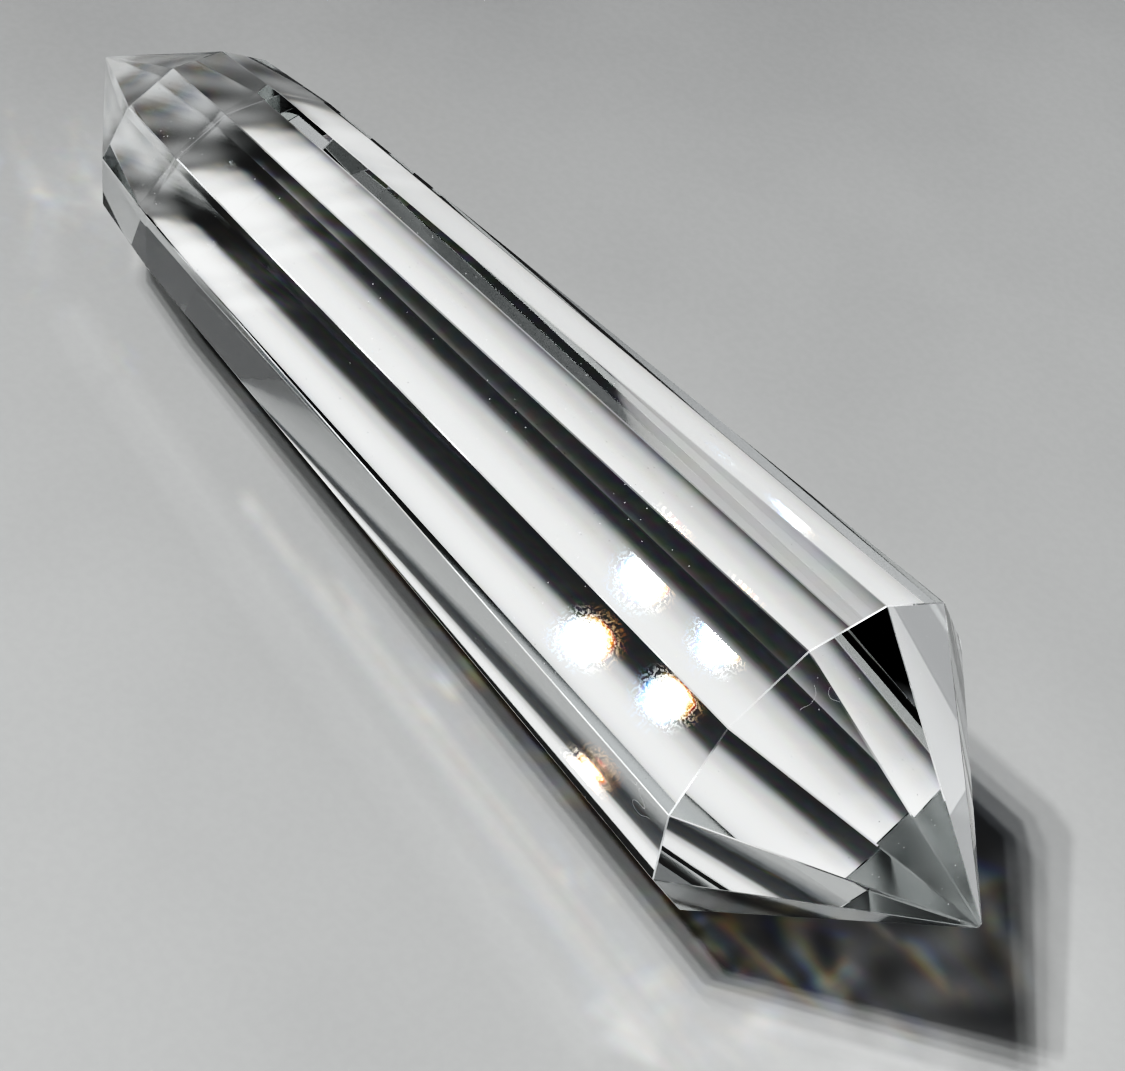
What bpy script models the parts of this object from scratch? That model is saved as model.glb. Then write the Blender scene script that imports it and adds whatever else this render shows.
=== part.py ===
"""Vogel-cut quartz crystal: one solid piece of clear quartz, ground to flat facets.

The wand lies on one of its long facets with its axis almost level and its wide
end towards +X.  Twelve long facets run from a wide shoulder to a narrow one and
taper all the way.  The wide end closes in a twelve-sided pyramid at the blunt
Vogel angle.  The narrow end has a short second taper and then a sharper
twelve-sided pyramid.  Lengths are in metres and Z is up.
"""

import math

import bmesh
import bpy
from mathutils import Matrix, Vector

MM = 0.001

NAME = "vogel_cut_quartz_crystal"
CRYSTAL = "crystal"

# Corner radius of the cross-section at each shoulder, measured from the axis.
WIDE_SHOULDER_RADIUS = 20.0 * MM
NARROW_SHOULDER_RADIUS = 14.9 * MM
TIP_BASE_RADIUS = 13.5 * MM

# Distances along the axis, from the wide shoulder to the narrow tip.
WIDE_TIP_LENGTH = 23.6 * MM
BODY_LENGTH = 98.5 * MM
SECOND_TAPER_LENGTH = 11.9 * MM
NARROW_TIP_LENGTH = 21.4 * MM

# Degrees of the girth that each long facet takes, going round from the facet
# that the wand lies on.  The facets are ground by eye, so they aren't quite even.
FACET_SPANS_DEG = (30.0, 30.0, 30.6, 29.1, 30.6, 29.2, 28.8, 30.9, 30.4, 30.2, 30.1, 30.1)
DOWN_DEG = -90.0

# Clear quartz, polished.
QUARTZ_COLOUR = (0.93, 0.95, 0.95, 1.0)
QUARTZ_ROUGHNESS = 0.02
QUARTZ_METALLIC = 0.0
QUARTZ_TRANSMISSION = 1.0
QUARTZ_IOR = 1.544


def clear_scene():
    """Removes every object, mesh and material that the file starts with."""
    for obj in list(bpy.data.objects):
        bpy.data.objects.remove(obj, do_unlink=True)
    for mesh in list(bpy.data.meshes):
        bpy.data.meshes.remove(mesh)
    for material in list(bpy.data.materials):
        bpy.data.materials.remove(material)


def make_collection(name):
    """A new collection under the scene's own, for the piece named."""
    collection = bpy.data.collections.new(name)
    bpy.context.scene.collection.children.link(collection)
    return collection


def quartz_material():
    """Colourless polished quartz, which light passes through."""
    material = bpy.data.materials.new("clear_quartz")
    material.use_nodes = True
    shader = material.node_tree.nodes["Principled BSDF"]
    shader.inputs["Base Color"].default_value = QUARTZ_COLOUR
    shader.inputs["Roughness"].default_value = QUARTZ_ROUGHNESS
    shader.inputs["Metallic"].default_value = QUARTZ_METALLIC
    shader.inputs["Transmission Weight"].default_value = QUARTZ_TRANSMISSION
    shader.inputs["IOR"].default_value = QUARTZ_IOR
    material.diffuse_color = QUARTZ_COLOUR
    return material


def corner_angles():
    """Where each long edge stands round the axis, in radians.

    The first facet is centred straight down, and the edges go round from one
    side of it.
    """
    angle = DOWN_DEG + FACET_SPANS_DEG[0] / 2
    angles = []
    for span in FACET_SPANS_DEG:
        angles.append(math.radians(angle))
        angle -= span
    return angles


def shoulder_polygon(bm, radius):
    """A flat twelve-sided face across the axis at X = 0, one corner per long edge."""
    angles = corner_angles()
    made = bmesh.ops.create_circle(bm, cap_ends=True, segments=len(angles), radius=radius)
    corners = made["verts"]
    for corner, angle in zip(corners, angles):
        corner.co = Vector((0.0, radius * math.cos(angle), radius * math.sin(angle)))
    return bm.faces[:][0]


def extrude_taper(bm, face, length, scale):
    """Draws a shoulder face out towards -X by length and narrows it by scale.

    The first face stays as the wide end's lid.  A later one would be left inside
    the solid, so it goes.
    """
    inside = all(len(edge.link_faces) > 1 for edge in face.edges)
    made = bmesh.ops.extrude_face_region(bm, geom=[face])
    if inside:
        bmesh.ops.delete(bm, geom=[face], context="FACES_ONLY")
    corners = [item for item in made["geom"] if isinstance(item, bmesh.types.BMVert)]
    end = [item for item in made["geom"] if isinstance(item, bmesh.types.BMFace)][0]
    bmesh.ops.scale(bm, verts=corners, vec=(1.0, scale, scale))
    bmesh.ops.translate(bm, verts=corners, vec=(-length, 0.0, 0.0))
    return end


def raise_point(bm, face, length):
    """Closes an end in a pyramid: one facet per side, meeting at a point on the axis."""
    poked = bmesh.ops.poke(bm, faces=[face])
    point = poked["verts"][0]
    point.co = Vector((point.co.x + length, 0.0, 0.0))


def facet_slope(length, wide, narrow):
    """Angle between the axis and the facet that the wand lies on, in radians."""
    half_span = math.radians(FACET_SPANS_DEG[0] / 2)
    return math.atan2((wide - narrow) * math.cos(half_span), length)


def lay_down(bm):
    """Tips the wand so that its first long facet lies flat on Z = 0.

    Afterwards the middle of the wand's bounding box is over the origin.
    """
    slope = facet_slope(BODY_LENGTH, WIDE_SHOULDER_RADIUS, NARROW_SHOULDER_RADIUS)
    bmesh.ops.rotate(bm, verts=bm.verts[:], cent=(0.0, 0.0, 0.0), matrix=Matrix.Rotation(-slope, 3, "Y"))
    lows = [min(v.co[i] for v in bm.verts) for i in range(3)]
    highs = [max(v.co[i] for v in bm.verts) for i in range(3)]
    centre_x = (lows[0] + highs[0]) / 2
    centre_y = (lows[1] + highs[1]) / 2
    bmesh.ops.translate(bm, verts=bm.verts[:], vec=(-centre_x, -centre_y, -lows[2]))


def crystal_mesh():
    """The whole crystal as one closed mesh of flat facets."""
    bm = bmesh.new()
    shoulder = shoulder_polygon(bm, WIDE_SHOULDER_RADIUS)
    body_scale = NARROW_SHOULDER_RADIUS / WIDE_SHOULDER_RADIUS
    taper_scale = TIP_BASE_RADIUS / NARROW_SHOULDER_RADIUS
    narrow_end = extrude_taper(bm, shoulder, BODY_LENGTH, body_scale)
    tip_base = extrude_taper(bm, narrow_end, SECOND_TAPER_LENGTH, taper_scale)
    raise_point(bm, tip_base, -NARROW_TIP_LENGTH)
    wide_end = max(bm.faces, key=lambda face: face.calc_center_median().x)
    raise_point(bm, wide_end, WIDE_TIP_LENGTH)
    lay_down(bm)
    bmesh.ops.recalc_face_normals(bm, faces=bm.faces[:])
    mesh = bpy.data.meshes.new(CRYSTAL)
    bm.to_mesh(mesh)
    bm.free()
    return mesh


def build():
    """Makes the crystal and puts it in a collection of its own."""
    clear_scene()
    collection = make_collection(NAME)
    mesh = crystal_mesh()
    mesh.materials.append(quartz_material())
    crystal = bpy.data.objects.new(CRYSTAL, mesh)
    collection.objects.link(crystal)
    return crystal


build()
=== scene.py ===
"""Dresses the Vogel-cut quartz crystal and lights it on a plain pale table.

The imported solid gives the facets. A copy of it, with its edges eased as a cutter eases them, is the piece
that shows. The lamps' light that goes through the crystal is traced through its facets and laid on the table.
"""

from __future__ import annotations

import logging
import math
from dataclasses import dataclass, field
from enum import Enum

import bmesh
import bpy
import numpy as np
from mathutils import Matrix, Vector


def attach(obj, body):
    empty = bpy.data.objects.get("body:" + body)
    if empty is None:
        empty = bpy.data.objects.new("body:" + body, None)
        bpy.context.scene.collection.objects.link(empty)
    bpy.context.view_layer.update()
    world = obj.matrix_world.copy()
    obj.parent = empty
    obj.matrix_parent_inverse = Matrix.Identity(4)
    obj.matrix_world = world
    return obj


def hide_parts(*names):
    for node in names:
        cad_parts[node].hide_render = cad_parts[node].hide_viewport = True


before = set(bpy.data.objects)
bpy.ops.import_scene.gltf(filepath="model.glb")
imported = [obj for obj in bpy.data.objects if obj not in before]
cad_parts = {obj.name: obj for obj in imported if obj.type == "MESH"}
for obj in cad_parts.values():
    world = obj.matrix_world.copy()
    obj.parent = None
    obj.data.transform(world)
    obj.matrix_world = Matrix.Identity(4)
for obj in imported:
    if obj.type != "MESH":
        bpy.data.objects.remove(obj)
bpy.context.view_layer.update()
LOG = logging.getLogger("crystal")

GOLDEN_ANGLE = 2.399963
SPREAD_STEPS = (0.618034, 0.754878)
NEARLY_ZERO = 1e-9

EASED_EDGE = "eased_edge"
# A crown facet whitened as painted light.
PAINTED_LIGHT_FACET = "painted_light_facet"
DULL_FACET = "dull_facet"
LIGHT_THROUGH = "light_through"

Number = float | int
Pair = tuple[float, float]
Colour = tuple[float, float, float]


class Wave(Enum):
    """The three parts of white light, each with quartz's index of refraction for it."""

    RED = 1.5390
    GREEN = 1.5445
    BLUE = 1.5545


@dataclass
class Wire:
    """A node's output socket that Python's arithmetic can be written on."""

    graph: Graph
    socket: bpy.types.NodeSocket

    def _maths(self, operation: str, first: Wire | Number, second: Wire | Number) -> Wire:
        """Adds one Math node.

        Args:
            operation: Blender's name of the operation.
            first: the left operand.
            second: the right operand.

        Returns:
            The node's result.
        """
        return self.graph.node("ShaderNodeMath", {"operation": operation}, {0: first, 1: second})["Value"]

    def __add__(self, other: Wire | Number) -> Wire:
        """This plus other."""
        return self._maths("ADD", self, other)

    __radd__ = __add__

    def __sub__(self, other: Wire | Number) -> Wire:
        """This less other."""
        return self._maths("SUBTRACT", self, other)

    def __rsub__(self, other: Wire | Number) -> Wire:
        """Other less this."""
        return self._maths("SUBTRACT", other, self)

    def __mul__(self, other: Wire | Number) -> Wire:
        """This times other."""
        return self._maths("MULTIPLY", self, other)

    __rmul__ = __mul__

    def __pow__(self, power: Number) -> Wire:
        """This raised to power."""
        return self._maths("POWER", self, power)

    def below(self, level: Number) -> Wire:
        """1 where this is under level, else 0."""
        return self._maths("LESS_THAN", self, level)

    def ramp(self, low: Number, high: Number, start: Number = 0.0, end: Number = 1.0) -> Wire:
        """Moves a range onto another, smoothly and without going past its ends.

        Args:
            low: the value that becomes start.
            high: the value that becomes end.
            start: the result at low.
            end: the result at high.

        Returns:
            The moved value.
        """
        settings = {"interpolation_type": "SMOOTHSTEP"}
        inputs = {"Value": self, "From Min": low, "From Max": high, "To Min": start, "To Max": end}
        return self.graph.node("ShaderNodeMapRange", settings, inputs)["Result"]


class Outputs:
    """The outputs of one node, by name."""

    def __init__(self, graph: Graph, node: bpy.types.Node) -> None:
        """Keeps the node and the graph that it is in."""
        self.graph = graph
        self.node = node

    def __getitem__(self, name: str | int) -> Wire:
        """The output of that name as a Wire."""
        return Wire(self.graph, self.node.outputs[name])


class Graph:
    """A node tree that is written one line per node."""

    def __init__(self, tree: bpy.types.NodeTree) -> None:
        """Empties the tree.

        Args:
            tree: a material's or a world's node tree.
        """
        self.tree = tree
        tree.nodes.clear()

    def node(self, kind: str, settings: dict | None = None, inputs: dict | None = None) -> Outputs:
        """Adds a node.

        Args:
            kind: Blender's type name.
            settings: the node's own properties, set first.
            inputs: each socket's value or the wire that feeds it.

        Returns:
            The node's outputs.
        """
        made = self.tree.nodes.new(kind)
        for name, value in (settings or {}).items():
            setattr(made, name, value)
        for name, value in (inputs or {}).items():
            if isinstance(value, Wire):
                self.tree.links.new(value.socket, made.inputs[name])
            else:
                made.inputs[name].default_value = value
        return Outputs(self, made)

    def place(self) -> Wire:
        """The point's place in metres."""
        return self.node("ShaderNodeTexCoord")["Object"]

    def stretched(self, scale: Colour, turn: Colour = (0.0, 0.0, 0.0)) -> Wire:
        """The point's place, turned and scaled.

        Args:
            scale: the factor along each axis.
            turn: the angles round each axis in radians.

        Returns:
            The moved place.
        """
        inputs = {"Vector": self.place(), "Rotation": turn, "Scale": scale}
        return self.node("ShaderNodeMapping", None, inputs)["Vector"]

    def noise(self, scale: Number, where: Wire | None = None, detail: Number = 3.0) -> Wire:
        """Soft cloudy noise.

        Args:
            scale: the number of lumps in a metre.
            where: the place to read it at, or the point's own.
            detail: how many finer layers it has.

        Returns:
            A value near 0.5.
        """
        inputs = {"Vector": where or self.place(), "Scale": scale, "Detail": detail}
        return self.node("ShaderNodeTexNoise", None, inputs)["Fac"]

    def cells(self, scale: Number) -> Wire:
        """The distance to the nearest of many scattered points.

        Args:
            scale: the number of points in a metre.

        Returns:
            The distance, in cells.
        """
        inputs = {"Vector": self.place(), "Scale": scale}
        return self.node("ShaderNodeTexVoronoi", {"feature": "F1"}, inputs)["Distance"]

    def distance(self, first: Wire, second: Wire | Colour) -> Wire:
        """How far one place is from another."""
        ends = {0: first, 1: second}
        return self.node("ShaderNodeVectorMath", {"operation": "DISTANCE"}, ends)["Value"]

    def length(self, vector: Wire) -> Wire:
        """A vector's length."""
        return self.node("ShaderNodeVectorMath", {"operation": "LENGTH"}, {0: vector})["Value"]

    def plain(self, colour: Colour, roughness: float) -> Wire:
        """A plain matt surface of one colour."""
        inputs = {"Base Color": (*colour, 1.0), "Roughness": roughness}
        return self.node("ShaderNodeBsdfPrincipled", None, inputs)["BSDF"]

    def blend(self, factor: Wire, first: Wire, second: Wire) -> Wire:
        """Mixes two shaders, with factor 1 for the second."""
        return self.node("ShaderNodeMixShader", None, {0: factor, 1: first, 2: second})["Shader"]

    def mixed(self, factor: Wire | Number, first: Wire | Colour, second: Wire | Colour) -> Wire:
        """Mixes two colours.

        Args:
            factor: 0 for the first and 1 for the second.
            first: a colour or a wire.
            second: a colour or a wire.

        Returns:
            The mixed colour.
        """
        full = [v if isinstance(v, Wire) else (*v, 1.0) for v in (first, second)]
        settings = {"data_type": "RGBA", "clamp_factor": True}
        made = self.node("ShaderNodeMix", settings, {0: factor, 6: full[0], 7: full[1]})
        return made[2]

    def attribute(self, name: str, output: str = "Fac") -> Wire:
        """A value that the mesh carries.

        Args:
            name: the attribute's name.
            output: Fac or Color.

        Returns:
            The value.
        """
        return self.node("ShaderNodeAttribute", {"attribute_name": name}, None)[output]


@dataclass(frozen=True)
class QuartzFinish:
    """Clear polished rock crystal: faint polishing lines, smears, dust and slightly ground edges, whose white
    is partly painted glint; one crown facet is whitened as painted light.
    """

    slot: str = "clear_quartz"
    tint: Colour = (0.985, 0.992, 0.99)
    index: float = 1.5445
    absorbs: Colour = (0.80, 0.93, 0.90)
    density: float = 1.6
    smear: float = 0.03
    smear_size: float = 38.0
    smear_stretch: Colour = (1.0, 2.2, 2.2)
    dull: float = 0.12
    lap_lines: float = 700.0
    lap_stretch: Colour = (0.04, 1.0, 1.0)
    lap_turn: Colour = (0.35, 0.0, 0.0)
    lap_share: float = 0.06
    sway: float = 55.0
    sway_stretch: Colour = (0.5, 1.0, 1.0)
    relief: float = 0.007
    relief_depth: float = 0.002
    dust: Colour = (0.86, 0.87, 0.88)
    dust_roughness: float = 0.6
    dust_per_metre: float = 900.0
    dust_radius: Pair = (0.075, 0.050)
    dust_cover: float = 0.35
    drift: float = 60.0
    handled: tuple[Colour, ...] = ((0.0500, -0.0191, 0.0220), (0.0566, -0.0061, 0.0351))
    handled_reach: float = 0.0019
    curl: float = 420.0
    curl_width: Pair = (0.00005, 0.00001)
    curl_cover: float = 0.3
    edge: Colour = (0.93, 0.95, 0.96)
    edge_roughness: float = 0.25
    edge_patches: float = 85.0
    edge_cover: Pair = (0.08, 0.9)

    def material(self) -> bpy.types.Material:
        """Builds the finish.

        Returns:
            The material, with the light it soaks up in its volume.
        """
        made = bpy.data.materials.new(self.slot)
        made.use_nodes = True
        graph = Graph(made.node_tree)
        glass = self._glass(graph)
        dusty = graph.blend(self._specks(graph), glass, graph.plain(self.dust, self.dust_roughness))
        # Whitish eased edges, partly ground wear and partly painted glint, and one crown facet whitened as
        # painted light.
        worn_and_painted = graph.blend(self._wear_and_painted_glint(graph), dusty, graph.plain(self.edge, self.edge_roughness))
        absorption = {"Color": (*self.absorbs, 1.0), "Density": self.density}
        soak = graph.node("ShaderNodeVolumeAbsorption", None, absorption)["Volume"]
        graph.node("ShaderNodeOutputMaterial", None, {"Surface": worn_and_painted, "Volume": soak})
        return made

    def _glass(self, graph: Graph) -> Wire:
        """The clear body.

        Args:
            graph: the material's nodes.

        Returns:
            Its shader.
        """
        inputs = {
            "Base Color": (*self.tint, 1.0),
            "Roughness": self._roughness(graph),
            "IOR": self.index,
            "Transmission Weight": 1.0,
            "Normal": self._relief(graph),
        }
        return graph.node("ShaderNodeBsdfPrincipled", None, inputs)["BSDF"]

    def _roughness(self, graph: Graph) -> Wire:
        """Polish, dulled where the crystal was handled.

        Args:
            graph: the material's nodes.

        Returns:
            The roughness.
        """
        smears = graph.noise(self.smear_size, graph.stretched(self.smear_stretch), 2.0).ramp(0.56, 0.78)
        return smears * self.smear + graph.attribute(DULL_FACET) * self.dull

    def _relief(self, graph: Graph) -> Wire:
        """The lines that the lap leaves and the slow waviness of a hand-held facet.

        Args:
            graph: the material's nodes.

        Returns:
            The bumped normal.
        """
        lines = graph.noise(self.lap_lines, graph.stretched(self.lap_stretch, self.lap_turn), 0.0)
        sway = graph.noise(self.sway, graph.stretched(self.sway_stretch), 0.0)
        height = lines * self.lap_share + sway * (1 - self.lap_share)
        inputs = {"Height": height, "Strength": self.relief, "Distance": self.relief_depth}
        return graph.node("ShaderNodeBump", None, inputs)["Normal"]

    def _specks(self, graph: Graph) -> Wire:
        """Settled dust in drifts, with a few fine curled hairs and scratches where it was handled.

        Args:
            graph: the material's nodes.

        Returns:
            How much of the point is covered.
        """
        drift = graph.noise(self.drift, None, 0.0).ramp(0.40, 0.62)
        dust = graph.cells(self.dust_per_metre).ramp(*self.dust_radius) * drift
        curl = graph.noise(self.curl, None, 0.0) - 0.5
        line = (curl * curl).ramp(*self.curl_width)
        near: Wire | float = 0.0
        for centre in self.handled:
            near = near + graph.distance(graph.place(), centre).below(self.handled_reach)
        return dust * self.dust_cover + line * near * self.curl_cover

    def _wear_and_painted_glint(self, graph: Graph) -> Wire:
        """Where an eased edge is white: partly the lap's grain, partly painted glint, and the one crown
        facet's painted light.

        Args:
            graph: the material's nodes.

        Returns:
            How white the edge or the painted facet is.
        """
        patches = graph.noise(self.edge_patches, None, 1.0).ramp(0.40, 0.60, *self.edge_cover)
        return graph.attribute(EASED_EDGE) * patches + graph.attribute(PAINTED_LIGHT_FACET)


@dataclass(frozen=True)
class TableFinish:
    """A pale matt table, with faint mottling; its colour carries painted light that brightens toward the
    camera's side and painted shade far out, and the lamps' gathered light is laid on it.
    """

    dark: Colour = (0.0990, 0.1000, 0.1012)
    light: Colour = (0.3966, 0.4030, 0.3995)
    middle: float = 0.275
    # Painted light: the table's colour is made brighter toward the camera's side, by a slope and a bend over
    # the table.
    painted_light_slope: Pair = (0.194, -0.446)
    painted_light_bend: tuple[float, float, float] = (-2.605, 2.944, 1.712)
    # Painted shade: the colour the table fades to far from the middle, and where that fade starts and ends.
    far: Colour = (0.082, 0.083, 0.083)
    painted_shade_fades: Pair = (0.16, 0.42)
    # Painted glow: the table is made lighter round a spot beside the crystal's point, where gathered light
    # spreads.
    painted_glow_place: Colour = (0.080, 0.0, 0.0)
    painted_glow_reach: float = 0.065
    painted_glow_by: float = 0.055
    mottle: float = 26.0
    grain: float = 900.0
    mottle_share: float = 0.7
    unevenness: float = 0.022
    roughness: float = 0.62
    gloss: float = 0.2

    def material(self) -> bpy.types.Material:
        """Builds the finish.

        Returns:
            The material.
        """
        made = bpy.data.materials.new("pale_table")
        made.use_nodes = True
        graph = Graph(made.node_tree)
        cloud = graph.noise(self.mottle, None, 3.0).ramp(0.3, 0.7)
        fine = graph.noise(self.grain, None, 1.0).ramp(0.3, 0.7)
        where = graph.node("ShaderNodeSeparateXYZ", None, {0: graph.place()})
        x, y = where["X"], where["Y"]
        # Painted light and shade: the colour's level rises toward the camera's side and bends across the
        # table.
        level = self.middle + x * self.painted_light_slope[0] + y * self.painted_light_slope[1]
        level = level + x * x * self.painted_light_bend[0] + x * y * self.painted_light_bend[1] + y * y * self.painted_light_bend[2]
        level = level - (cloud * self.mottle_share + fine * (1 - self.mottle_share)) * self.unevenness
        # Painted glow beside the crystal's point.
        painted_glow_distance = graph.distance(graph.place(), self.painted_glow_place)
        level = level + painted_glow_distance.ramp(self.painted_glow_reach, 0.0) * self.painted_glow_by
        share = (level - self.dark[1]) * (1.0 / (self.light[1] - self.dark[1]))
        colour = graph.mixed(share, self.dark, self.light)
        # Painted shade: the table turns darker far from the middle.
        colour = graph.mixed(graph.length(graph.place()).ramp(*self.painted_shade_fades), colour, self.far)
        inputs = {
            "Base Color": colour,
            "Roughness": self.roughness,
            "Specular IOR Level": self.gloss,
            "Emission Color": graph.attribute(LIGHT_THROUGH, "Color"),
            "Emission Strength": 1.0,
        }
        surface = graph.node("ShaderNodeBsdfPrincipled", None, inputs)["BSDF"]
        graph.node("ShaderNodeOutputMaterial", None, {"Surface": surface})
        return made


@dataclass(frozen=True)
class Lamp:
    """One small round lamp, so far away that its light comes as nearly level beams."""

    lean_x: float
    lean_y: float
    share: float
    width: float = 0.026
    samples: int = 3
    distance: float = 8.0
    one_colour_from: float = 0.2

    def travel(self) -> Vector:
        """The direction its light goes in."""
        return Vector((self.lean_x, self.lean_y, -1.0)).normalized()

    def spot(self) -> Vector:
        """Where it hangs."""
        return -self.distance * self.travel()

    def soft(self) -> bool:
        """Whether it is too wide for its colours to part."""
        return self.width > self.one_colour_from


@dataclass(frozen=True)
class LampFace:
    """The bright face of a lamp as the polished facets mirror it, with coloured rims and a grainy halo."""

    lean_x: float
    lean_y: float
    core: float = 0.0084
    halo: float = 0.019
    strength: float = 40.0
    glow: float = 8.0
    fringe: float = -0.0011
    rim: Pair = (1.35, 0.8)
    grain: float = 110.0
    grain_light: Pair = (0.05, 2.4)
    distance: float = 8.0
    sides: int = 48

    def material(self, name: str) -> bpy.types.Material:
        """Builds the face's light.

        Args:
            name: the material's name.

        Returns:
            The material.
        """
        made = bpy.data.materials.new(name)
        made.use_nodes = True
        graph = Graph(made.node_tree)
        core_end, halo_end = self.core * self.distance, self.halo * self.distance
        parts = {}
        for part, shift in (("Red", 1.0), ("Green", 0.0), ("Blue", -1.0)):
            moved = {0: graph.place(), 1: (0.0, shift * self.fringe * self.distance, 0.0)}
            where = graph.node("ShaderNodeVectorMath", {"operation": "ADD"}, moved)["Vector"]
            away = graph.length(where)
            core = away.ramp(core_end * self.rim[0], core_end * self.rim[1])
            halo = away.ramp(halo_end, core_end) ** 2.0
            grain = graph.noise(self.grain, None, 1.0).ramp(0.46, 0.60, *self.grain_light)
            parts[part] = core * self.strength + halo * grain * self.glow
        colour = graph.node("ShaderNodeCombineColor", None, parts)["Color"]
        shine = graph.node("ShaderNodeEmission", None, {"Color": colour, "Strength": 1.0})["Emission"]
        clear = graph.node("ShaderNodeBsdfTransparent")["BSDF"]
        both = graph.node("ShaderNodeAddShader", None, {0: shine, 1: clear})["Shader"]
        graph.node("ShaderNodeOutputMaterial", None, {"Surface": both})
        made.cycles.emission_sampling = "NONE"
        return made

    def build(self, name: str) -> bpy.types.Object:
        """Makes the face.

        Args:
            name: its name.

        Returns:
            A disc that only polished surfaces show.
        """
        mesh = bpy.data.meshes.new(name)
        form = bmesh.new()
        bmesh.ops.create_circle(form, cap_ends=True, segments=self.sides, radius=self.halo * self.distance)
        form.to_mesh(mesh)
        form.free()
        mesh.materials.append(self.material(name))
        made = bpy.data.objects.new(name, mesh)
        travel = Vector((self.lean_x, self.lean_y, -1.0)).normalized()
        made.location = -self.distance * travel
        made.rotation_mode = "QUATERNION"
        made.rotation_quaternion = travel.to_track_quat("-Z", "Y")
        made.visible_camera = made.visible_diffuse = made.visible_shadow = False
        bpy.context.scene.collection.objects.link(made)
        return made


@dataclass
class FacetedBody:
    """The crystal's facets as planes, for tracing light through them."""

    normals: np.ndarray
    offsets: np.ndarray
    corners: np.ndarray
    normal_grid = 500
    offset_grid = 5000

    @classmethod
    def of(cls, solid: bpy.types.Object) -> FacetedBody:
        """Reads the planes of a solid.

        Args:
            solid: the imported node.

        Returns:
            Its different facets.
        """
        planes: dict[tuple[int, ...], tuple[Vector, float]] = {}
        for face in solid.data.polygons:
            offset = face.normal.dot(solid.data.vertices[face.vertices[0]].co)
            key = tuple(round(v * cls.normal_grid) for v in face.normal) + (round(offset * cls.offset_grid),)
            planes.setdefault(key, (face.normal.copy(), offset))
        normals = np.array([n[:] for n, _ in planes.values()])
        offsets = np.array([d for _, d in planes.values()])
        corners = np.array([v.co[:] for v in solid.data.vertices])
        return cls(normals, offsets, corners)

    def enter(self, start: np.ndarray, way: np.ndarray) -> tuple[np.ndarray, np.ndarray]:
        """Finds where rays from outside meet the crystal.

        Args:
            start: the rays' first points.
            way: their unit directions.

        Returns:
            The distance and the facet, which is -1 for a miss.
        """
        toward = way @ self.normals.T
        gap = start @ self.normals.T - self.offsets
        with np.errstate(divide="ignore", invalid="ignore"):
            reach = -gap / toward
        first = np.where(toward < 0, reach, -np.inf)
        last = np.where(toward > 0, reach, np.inf).min(1)
        facet = first.argmax(1)
        near = first.max(1)
        met = (near < last) & (near > 0)
        return near, np.where(met, facet, -1)

    def leave(
        self, start: np.ndarray, way: np.ndarray, from_facet: np.ndarray
    ) -> tuple[np.ndarray, np.ndarray]:
        """Finds the facet that rays inside the crystal come to next.

        Args:
            start: points on facets.
            way: unit directions.
            from_facet: the facet that each ray starts on.

        Returns:
            The distance and the facet.
        """
        toward = way @ self.normals.T
        gap = start @ self.normals.T - self.offsets
        with np.errstate(divide="ignore", invalid="ignore"):
            reach = -gap / toward
        reach = np.where(toward > NEARLY_ZERO, reach, np.inf)
        rows = np.arange(len(start))
        reach[rows, from_facet] = np.inf
        facet = reach.argmin(1)
        return reach[rows, facet], facet


def fresnel(cosine: np.ndarray, inside: float, outside: float) -> tuple[np.ndarray, np.ndarray]:
    """Works out how much light a polished facet reflects.

    Args:
        cosine: of the angle to the facet's normal.
        inside: the index on the ray's side.
        outside: the index beyond.

    Returns:
        The share reflected and the cosine of the refracted ray.
    """
    sine2 = (inside / outside) ** 2 * (1 - cosine**2)
    beyond = np.sqrt(np.clip(1 - sine2, 0, 1))
    across = ((inside * cosine - outside * beyond) / (inside * cosine + outside * beyond)) ** 2
    along = ((inside * beyond - outside * cosine) / (inside * beyond + outside * cosine)) ** 2
    return np.where(sine2 >= 1, 1.0, (across + along) / 2), beyond


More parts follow.
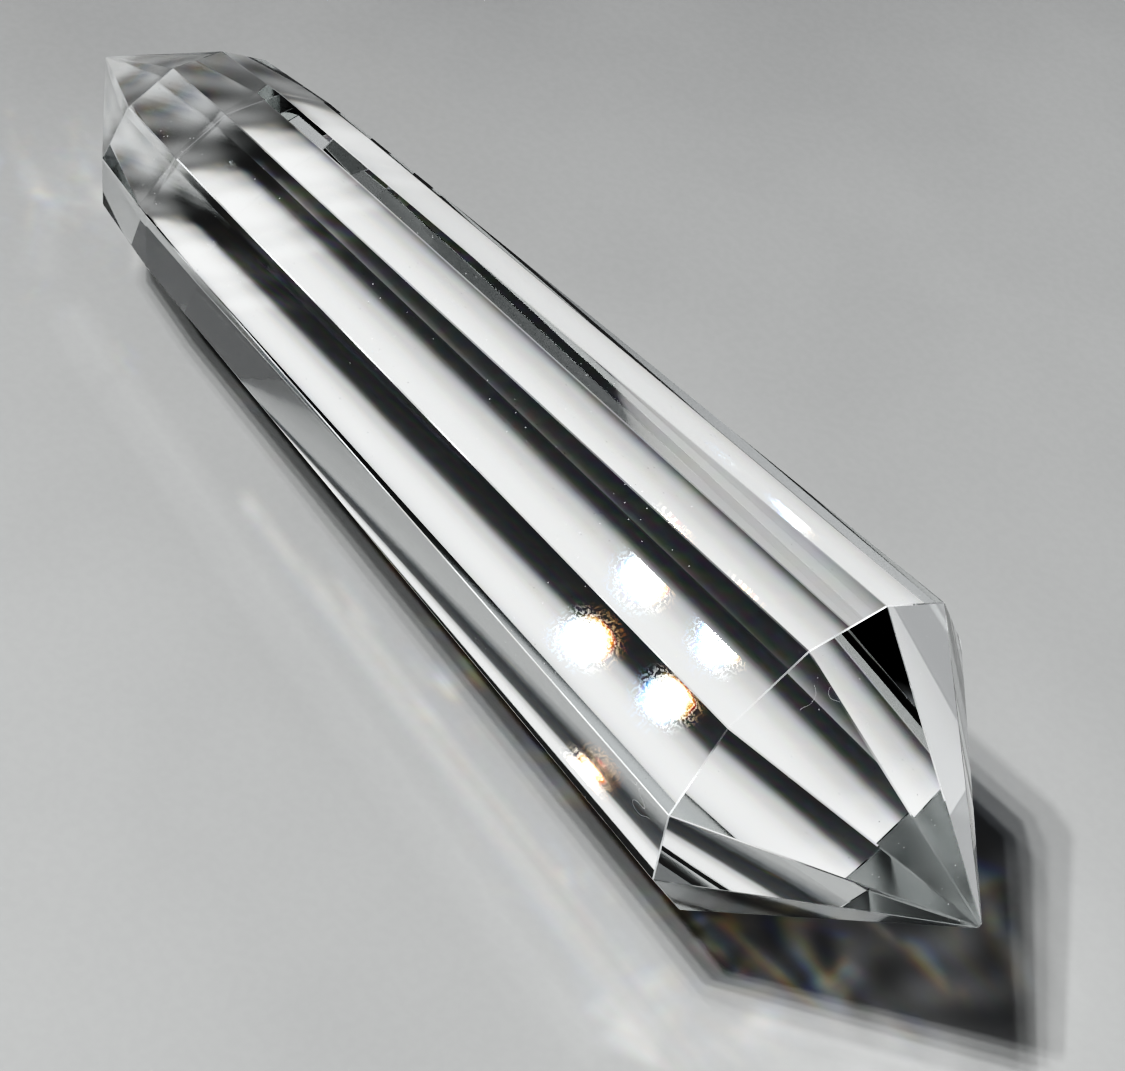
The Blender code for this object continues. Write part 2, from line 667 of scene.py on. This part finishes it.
@dataclass
class LightThrough:
    """The lamps' light that goes through the crystal's facets, or off them, and reaches the table."""

    body: FacetedBody
    lamps: list[Lamp]
    step: float = 0.00035
    cell: float = 0.0005
    reach_x: Pair = (-0.15, 0.15)
    reach_y: Pair = (-0.12, 0.12)
    bounces: int = 9
    least: float = 0.004
    long_throw: float = 0.014
    throw_blur: Pair = (0.014, 0.003)
    cell_blur: float = 0.7
    start_height: float = 0.2
    least_fall: float = 1e-3

    def counts(self) -> tuple[int, int]:
        """How many cells the map has along X and Y."""
        spans = (self.reach_x[1] - self.reach_x[0], self.reach_y[1] - self.reach_y[0])
        return round(spans[0] / self.cell), round(spans[1] / self.cell)

    def trace(self) -> np.ndarray:
        """Adds up every lamp's light in each part of the spectrum.

        Returns:
            The light on each cell of the table, as rows of red, green and blue.
        """
        nx, ny = self.counts()
        total = np.zeros((ny, nx, 3, 2))
        for lamp in self.lamps:
            if lamp.soft():
                total += lamp.share * self._one(lamp, Wave.GREEN.value)[:, :, None]
                continue
            for channel, wave in enumerate(Wave):
                total[:, :, channel] += lamp.share * self._one(lamp, wave.value)
        near = self._soften(total[..., 0], (self.cell * self.cell_blur,) * 2)
        return near + self._soften(total[..., 1], self.throw_blur)

    def _one(self, lamp: Lamp, index: float) -> np.ndarray:
        """Traces one lamp.

        Args:
            lamp: the lamp.
            index: the crystal's index of refraction.

        Returns:
            The light on each cell from near and from far, as a share of what the open table gets.
        """
        nx, ny = self.counts()
        total = np.zeros((ny, nx, 2))
        middle = np.array(lamp.travel())
        side = np.cross(middle, (0.0, 0.0, 1.0))
        side /= np.linalg.norm(side)
        rise = np.cross(middle, side)
        for k in range(lamp.samples):
            radius = lamp.width / 2 * math.sqrt((k + 0.5) / lamp.samples)
            turn = k * GOLDEN_ANGLE
            way = middle + radius * (math.cos(turn) * side + math.sin(turn) * rise)
            way /= np.linalg.norm(way)
            self._beam(way, index, total, (k * SPREAD_STEPS[0] % 1, k * SPREAD_STEPS[1] % 1))
        return total / lamp.samples

    def _beam(self, way: np.ndarray, index: float, total: np.ndarray, nudge: Pair) -> None:
        """Follows one level beam through the crystal and adds what reaches the table.

        Args:
            way: the beam's direction.
            index: the crystal's index of refraction.
            total: the cells to add to.
            nudge: where in its square each ray starts, so that beams don't repeat.
        """
        shadow = self.body.corners[:, :2] - self.body.corners[:, 2:] * way[:2] / way[2]
        low, high = shadow.min(0) - self.step, shadow.max(0) + self.step
        xs, ys = np.meshgrid(*(np.arange(a, b, self.step) for a, b in zip(low, high)))
        flat = np.stack([xs.ravel(), ys.ravel(), np.zeros(xs.size)], 1)
        flat[:, :2] += np.array(nudge) * self.step
        start = flat - way * self.start_height
        rays = np.broadcast_to(way, start.shape)
        near, facet = self.body.enter(start, rays)
        met = facet >= 0
        start, rays, facet = start[met] + rays[met] * near[met, None], rays[met], facet[met]
        normal = self.body.normals[facet]
        cosine = -(rays * normal).sum(1)
        share, beyond = fresnel(cosine, 1.0, index)
        self._land(start, rays + 2 * cosine[:, None] * normal, share, total)
        ratio = 1 / index
        inner = ratio * rays + (ratio * cosine - beyond)[:, None] * normal
        weight = 1 - share
        for _ in range(self.bounces):
            far, hit = self.body.leave(start, inner, facet)
            start = start + inner * far[:, None]
            normal = self.body.normals[hit]
            cosine = (inner * normal).sum(1)
            share, beyond = fresnel(cosine, index, 1.0)
            out = index * inner + (beyond - index * cosine)[:, None] * normal
            self._land(start, out, weight * (1 - share), total)
            weight = weight * share
            keep = weight > self.least
            inner = (inner - 2 * cosine[:, None] * normal)[keep]
            start, facet, weight = start[keep], hit[keep], weight[keep]
            if not len(start):
                return

    def _land(self, start: np.ndarray, way: np.ndarray, weight: np.ndarray, total: np.ndarray) -> None:
        """Adds rays that go down to the cells they land on.

        Args:
            start: where the rays leave the crystal.
            way: their directions.
            weight: the light that each carries.
            total: the cells to add to.
        """
        down = (way[:, 2] < -self.least_fall) & (weight > self.least / 2)
        start, way, weight = start[down], way[down], weight[down]
        spot = start[:, :2] - way[:, :2] * (start[:, 2] / way[:, 2])[:, None]
        far = (np.hypot(*(spot - start[:, :2]).T) > self.long_throw).astype(int)
        ny, nx, _ = total.shape
        column = np.floor((spot[:, 0] - self.reach_x[0]) / self.cell).astype(int)
        row = np.floor((spot[:, 1] - self.reach_y[0]) / self.cell).astype(int)
        inside = (column >= 0) & (column < nx) & (row >= 0) & (row < ny)
        share = (self.step / self.cell) ** 2
        np.add.at(total, (row[inside], column[inside], far[inside]), weight[inside] * share)

    def _soften(self, cells: np.ndarray, spread: Pair) -> np.ndarray:
        """Blurs the cells: a little takes out the rays' own grid, more is for light that was thrown far.

        Args:
            cells: the light on each cell.
            spread: the blur's standard deviation along X and Y in metres.

        Returns:
            The blurred cells.
        """
        down = np.fft.fftfreq(cells.shape[0], self.cell)[:, None]
        along = np.fft.fftfreq(cells.shape[1], self.cell)[None]
        keeps = np.exp(-2 * (math.pi**2) * ((along * spread[0]) ** 2 + (down * spread[1]) ** 2))
        smooth = np.fft.ifft2(np.fft.fft2(cells, axes=(0, 1)) * keeps[..., None], axes=(0, 1)).real
        return np.maximum(smooth, 0.0)


@dataclass(frozen=True)
class Pool:
    """Cloudy light on the table that no single lamp makes, in an oval."""

    x: float
    y: float
    half_x: float
    half_y: float
    level: float
    streaks: float
    waves: tuple[Pair, ...] = ((700.0, 380.0), (260.0, -420.0))
    painted_light_bend: Pair = (310.0, 2.2)

    def on(self, gx: np.ndarray, gy: np.ndarray) -> np.ndarray:
        """How bright it is at places on the table.

        Args:
            gx: the places along X.
            gy: the places along Y.

        Returns:
            The light at each place.
        """
        away = ((gx - self.x) / self.half_x) ** 2 + ((gy - self.y) / self.half_y) ** 2
        fall = np.exp(-(away**2))
        bent = self.painted_light_bend[1] * np.sin(self.painted_light_bend[0] * gy + 1.0)
        (long_x, long_y), (cross_x, cross_y) = self.waves
        cloud = np.sin(long_x * gx + long_y * gy + bent) * np.sin(cross_x * gx + cross_y * gy)
        return self.level * fall * (1 + self.streaks * cloud)


@dataclass
class Crystal:
    """The cut crystal, with its edges eased."""

    node: str = "crystal"
    body: str = "root"
    edge_width: float = 0.00018
    point_x: float = 0.0575
    small_end_x: float = -0.0560
    dull_below: float = -0.25
    away: float = 0.95
    dull_point: float = 1.0
    dull_small_end: float = 0.7
    dull_away: float = 0.4
    # Painted light: the facet with this normal is whitened to show a bright patch of light.
    painted_light_facet: Colour = (0.60, 0.37, 0.71)
    same_facet: float = 0.99
    painted_light_share: float = 0.65
    shoulder_reach: float = 0.0065
    point_edge: float = 0.014
    far_x: float = -0.040
    near_y: float = -0.012
    upper_z: float = 0.012
    worn_glint_point: float = 0.12
    worn_glint_shoulder: Pair = (0.9, 0.6)
    worn_glint_far: float = 0.06
    worn_glint_long: Pair = (0.8, 0.05)
    weld: float = 1e-6
    flat_within: float = 0.5
    finish: QuartzFinish = field(default_factory=QuartzFinish)

    def build(self) -> bpy.types.Object:
        """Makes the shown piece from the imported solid.

        Returns:
            The piece.
        """
        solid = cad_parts[self.node]
        mesh = bpy.data.meshes.new("cut_crystal")
        form = bmesh.new()
        form.from_mesh(solid.data)
        bmesh.ops.remove_doubles(form, verts=form.verts, dist=self.weld)
        flat = math.radians(self.flat_within)
        bmesh.ops.dissolve_limit(form, angle_limit=flat, verts=form.verts, edges=form.edges)
        edge_layer = form.faces.layers.float.new(EASED_EDGE)
        painted_light_layer = form.faces.layers.float.new(PAINTED_LIGHT_FACET)
        dull_layer = form.faces.layers.float.new(DULL_FACET)
        eased = bmesh.ops.bevel(
            form, geom=form.edges[:], offset=self.edge_width / 2, segments=1, affect="EDGES", profile=0.5
        )
        marks = set(eased["faces"])
        for face in form.faces:
            # Eased edges carry wear and painted glint; one crown facet carries painted light.
            face[edge_layer] = self.edge_wear_and_glint(face) if face in marks else 0.0
            face[painted_light_layer] = 0.0 if face in marks else self.painted_facet_light(face)
            face[dull_layer] = self.dullness(face)
            face.smooth = False
        form.to_mesh(mesh)
        form.free()
        piece = bpy.data.objects.new("cut_crystal", mesh)
        bpy.context.scene.collection.objects.link(piece)
        mesh.materials.append(self.finish.material())
        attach(piece, self.body)
        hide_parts(self.node)
        return piece

    def dullness(self, face: bmesh.types.BMFace) -> float:
        """How far a facet is from a full polish.

        Args:
            face: the facet.

        Returns:
            0 for polished; the hidden facets under both ends and on the away side are finished less.
        """
        middle = face.calc_center_median()
        underneath = face.normal.z < self.dull_below
        if underneath and middle.x > self.point_x:
            return self.dull_point
        if underneath and middle.x < self.small_end_x:
            return self.dull_small_end
        return self.dull_away if face.normal.y > self.away else 0.0

    def painted_facet_light(self, face: bmesh.types.BMFace) -> float:
        """How much painted light a facet's surface carries.

        Args:
            face: the facet.

        Returns:
            0 but for the one crown facet that is whitened to paint the bright patch of light that shows
            there.
        """
        return self.painted_light_share if face.normal.dot(Vector(self.painted_light_facet)) > self.same_facet else 0.0

    def edge_wear_and_glint(self, face: bmesh.types.BMFace) -> float:
        """How white an eased edge is: partly from wear, partly a painted glint where the edge catches the
        light.

        Args:
            face: the narrow face along the edge.

        Returns:
            From 0 for clear to 1 for white.
        """
        middle = face.calc_center_median()
        length = max((a.co - b.co).length for a in face.verts for b in face.verts)
        # Painted glint: the point's shoulder edges (the near side most) and the long upper edges on the near
        # side are made whiter, the far ones barely.
        if middle.x > self.point_x - self.shoulder_reach:
            if length > self.point_edge:
                return self.worn_glint_point
            return self.worn_glint_shoulder[0] if middle.y < 0 else self.worn_glint_shoulder[1]
        if middle.x < self.far_x:
            return self.worn_glint_far
        near_side = middle.y < self.near_y and middle.z > self.upper_z
        return self.worn_glint_long[0] if near_side else self.worn_glint_long[1]


@dataclass(frozen=True)
class RoomPatch:
    """A part of the room that is lighter or darker than the rest."""

    azimuth: float
    elevation: float
    change: float
    outer: float = 0.80
    inner: float = 0.95

    def toward(self) -> Colour:
        """The direction of its middle."""
        turn, rise = math.radians(self.azimuth), math.radians(self.elevation)
        return (math.cos(rise) * math.cos(turn), math.cos(rise) * math.sin(turn), math.sin(rise))


@dataclass
class Studio:
    """The pale table, the lamps over it and the dim room round them."""

    room: float = 0.24
    overhead: float = 0.05
    overhead_starts: Pair = (0.75, 0.05)
    room_colour: Colour = (0.97, 0.98, 1.0)
    patches: tuple[RoomPatch, ...] = (
        RoomPatch(228.5, 18.0, -0.24, 0.9980, 0.9992),
        RoomPatch(90.0, 64.0, 0.55, 0.94, 0.985),
        RoomPatch(120.0, 3.0, -0.12, 0.93, 0.98),
    )
    pools: tuple[Pool, ...] = (
        Pool(-0.0640, 0.006, 0.0115, 0.012, 0.21, 0.8),
        Pool(0.0690, 0.004, 0.0175, 0.0190, 0.080, 0.35),
    )
    table_size: float = 4.0
    table_drop: float = 0.00002
    table_albedo: float = 0.31
    direct: float = 0.53
    gather: float = 0.42
    knee: float = 0.5
    top: float = 1.05
    finish: TableFinish = field(default_factory=TableFinish)

    def table(self, light: LightThrough) -> bpy.types.Object:
        """Makes the table, whose middle is a fine net that carries the gathered light.

        Args:
            light: the traced light.

        Returns:
            The table.
        """
        nx, ny = light.counts()
        far = self.table_size / 2
        xs = self._line(light.reach_x, nx, light.cell, far)
        ys = self._line(light.reach_y, ny, light.cell, far)
        gx, gy = np.meshgrid(xs, ys)
        points = np.stack([gx.ravel(), gy.ravel(), np.full(gx.size, -self.table_drop)], 1)
        rows, columns = len(ys), len(xs)
        corner = (np.arange(rows - 1)[:, None] * columns + np.arange(columns - 1)[None]).ravel()
        quads = np.stack([corner, corner + 1, corner + columns + 1, corner + columns], 1)
        mesh = bpy.data.meshes.new("table")
        mesh.vertices.add(len(points))
        mesh.vertices.foreach_set("co", points.ravel().astype(np.float32))
        mesh.loops.add(quads.size)
        mesh.loops.foreach_set("vertex_index", quads.ravel().astype(np.int32))
        mesh.polygons.add(len(quads))
        mesh.polygons.foreach_set("loop_start", np.arange(0, quads.size, 4, dtype=np.int32))
        mesh.update(calc_edges=True)
        values = np.zeros((rows, columns, 4))
        values[..., 3] = 1.0
        inner = light.trace() * self.gather
        for pool in self.pools:
            inner += pool.on(gx[1:-1, 1:-1], gy[1:-1, 1:-1])[..., None]
        values[1:-1, 1:-1, :3] = self.shoulder(inner)
        layer = mesh.attributes.new(LIGHT_THROUGH, "FLOAT_COLOR", "POINT")
        layer.data.foreach_set("color", values.ravel().astype(np.float32))
        made = bpy.data.objects.new("table", mesh)
        bpy.context.scene.collection.objects.link(made)
        mesh.materials.append(self.finish.material())
        return made

    def shoulder(self, light: np.ndarray) -> np.ndarray:
        """Holds back the strongest light, as an eye does.

        Args:
            light: how bright the table would be.

        Returns:
            The same below the knee, and never past the top.
        """
        room = self.top - self.knee
        over = np.maximum(light - self.knee, 0.0)
        return np.minimum(light, self.knee) + room * (1 - np.exp(-over / room))

    @staticmethod
    def _line(reach: Pair, count: int, cell: float, far: float) -> np.ndarray:
        """The net's lines along one axis, with one far line at each end.

        Args:
            reach: the fine part's ends.
            count: how many cells it has.
            cell: a cell's width.
            far: the table's edge.

        Returns:
            The lines' places.
        """
        fine = reach[0] + cell * (np.arange(count) + 0.5)
        return np.concatenate([[-far], fine, [far]])

    def hang(self, lamp: Lamp, number: int) -> bpy.types.Object:
        """Hangs one lamp.

        Args:
            lamp: the lamp.
            number: its number, for its name.

        Returns:
            The lamp's object.
        """
        data = bpy.data.lights.new(f"lamp_{number}", "AREA")
        data.shape = "DISK"
        data.size = lamp.width * lamp.distance
        fall = -lamp.travel().z
        spread = math.pi**2 * lamp.distance**2
        data.energy = lamp.share * self.direct * spread / (self.table_albedo * fall)
        made = bpy.data.objects.new(f"lamp_{number}", data)
        made.location = lamp.spot()
        made.rotation_mode = "QUATERNION"
        made.rotation_quaternion = lamp.travel().to_track_quat("-Z", "Y")
        made.visible_camera = made.visible_glossy = made.visible_transmission = False
        bpy.context.scene.collection.objects.link(made)
        return made

    def surround(self) -> bpy.types.World:
        """Makes the dim room, darker overhead but for its patches.

        Returns:
            The world.
        """
        world = bpy.data.worlds.new("room")
        world.use_nodes = True
        graph = Graph(world.node_tree)
        way = graph.node("ShaderNodeTexCoord")["Generated"]
        up = graph.node("ShaderNodeSeparateXYZ", None, {0: way})["Z"]
        level = up.ramp(*self.overhead_starts, self.overhead, self.room)
        for patch in self.patches:
            both = {0: way, 1: patch.toward()}
            toward = graph.node("ShaderNodeVectorMath", {"operation": "DOT_PRODUCT"}, both)["Value"]
            level = level + toward.ramp(patch.outer, patch.inner) * patch.change
        inputs = {"Color": (*self.room_colour, 1.0), "Strength": level}
        shell = graph.node("ShaderNodeBackground", None, inputs)
        graph.node("ShaderNodeOutputWorld", None, {"Surface": shell["Background"]})
        bpy.context.scene.world = world
        return world


@dataclass(frozen=True)
class Camera:
    """The eye, near the wide end and above it."""

    right: Colour = (0.613626, 0.774365, 0.154343)
    up: Colour = (-0.632967, 0.365558, 0.682437)
    back: Colour = (0.472034, -0.516455, 0.714464)
    place: Colour = (0.130487, -0.126681, 0.203721)
    sensor: float = 36.0
    lens: float = 76.8
    shift: Pair = (-0.01309, -0.08698)
    clip: Pair = (0.01, 50.0)

    def build(self) -> bpy.types.Object:
        """Sets the camera up.

        Returns:
            The camera's object.
        """
        data = bpy.data.cameras.new("camera")
        data.sensor_width = self.sensor
        data.lens = self.lens
        data.shift_x, data.shift_y = self.shift
        data.clip_start, data.clip_end = self.clip
        made = bpy.data.objects.new("camera", data)
        turn = Matrix((self.right, self.up, self.back)).transposed().to_4x4()
        made.matrix_world = Matrix.Translation(self.place) @ turn
        bpy.context.scene.collection.objects.link(made)
        bpy.context.scene.camera = made
        return made


# The beams whose way through the crystal is traced.
THROUGH_LAMPS = [
    Lamp(0.215, 0.530, 0.160),
    Lamp(0.402, 0.527, 0.120),
    Lamp(0.465, 0.500, 0.240),
    Lamp(0.395, 0.333, 0.210),
    Lamp(0.355, 0.380, 0.080),
    Lamp(0.405, 0.425, 0.070),
    Lamp(0.360, 0.500, 0.030, 0.55, 8),
]
# The lamps that light the table and cast the crystal's shadow.
TABLE_LAMPS = [
    Lamp(0.430, 0.527, 0.120),
    Lamp(0.460, 0.500, 0.150),
    Lamp(0.435, 0.333, 0.230),
    Lamp(0.440, 0.400, 0.170),
    Lamp(0.465, 0.250, 0.100),
    Lamp(0.445, 0.200, 0.080),
    Lamp(0.625, 0.250, 0.060),
    Lamp(0.450, 0.380, 0.090, 0.30),
]
# The picture's tone curve, as pairs of a level and what it becomes.
TONE = ((0.03, 0.0050), (0.08, 0.018), (0.16, 0.100), (0.3, 0.290), (0.6, 0.61))
# The lamps that the polished facets mirror.
FACES = [
    LampFace(0.3313, 0.4773),
    LampFace(0.2833, 0.4693),
]


# How often light is followed on, by kind.
BOUNCES = {
    "max_bounces": 13,
    "transmission_bounces": 11,
    "glossy_bounces": 6,
    "diffuse_bounces": 1,
    "transparent_max_bounces": 8,
}


def set_tone() -> None:
    """Sets the tone curve, and leaves the light through the crystal to the traced map alone."""
    scene = bpy.context.scene
    scene.view_settings.view_transform = "Standard"
    scene.view_settings.use_curve_mapping = True
    tone = scene.view_settings.curve_mapping
    for place, level in TONE:
        tone.curves[3].points.new(place, level)
    tone.update()
    scene.cycles.caustics_refractive = False
    scene.cycles.caustics_reflective = False
    for kind, count in BOUNCES.items():
        setattr(scene.cycles, kind, count)
    scene.cycles.sample_clamp_indirect = 0.0
    scene.cycles.use_denoising = True


def main() -> None:
    """Builds the crystal, the table, the lamps and the camera."""
    logging.basicConfig(level=logging.INFO, format="%(message)s")
    set_tone()
    crystal = Crystal()
    piece = crystal.build()
    LOG.info("%s: %d faces", piece.name, len(piece.data.polygons))
    studio = Studio()
    step = LightThrough.step
    light = LightThrough(FacetedBody.of(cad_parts[crystal.node]), THROUGH_LAMPS, step)
    LOG.info("%s: %d facets traced", studio.table(light).name, len(light.body.offsets))
    for number, lamp in enumerate(TABLE_LAMPS):
        LOG.info("%s", studio.hang(lamp, number).name)
    for number, face in enumerate(FACES):
        LOG.info("%s", face.build(f"lamp_face_{number}").name)
    studio.surround()
    LOG.info("%s", Camera().build().name)


if __name__ == "__main__":
    main()
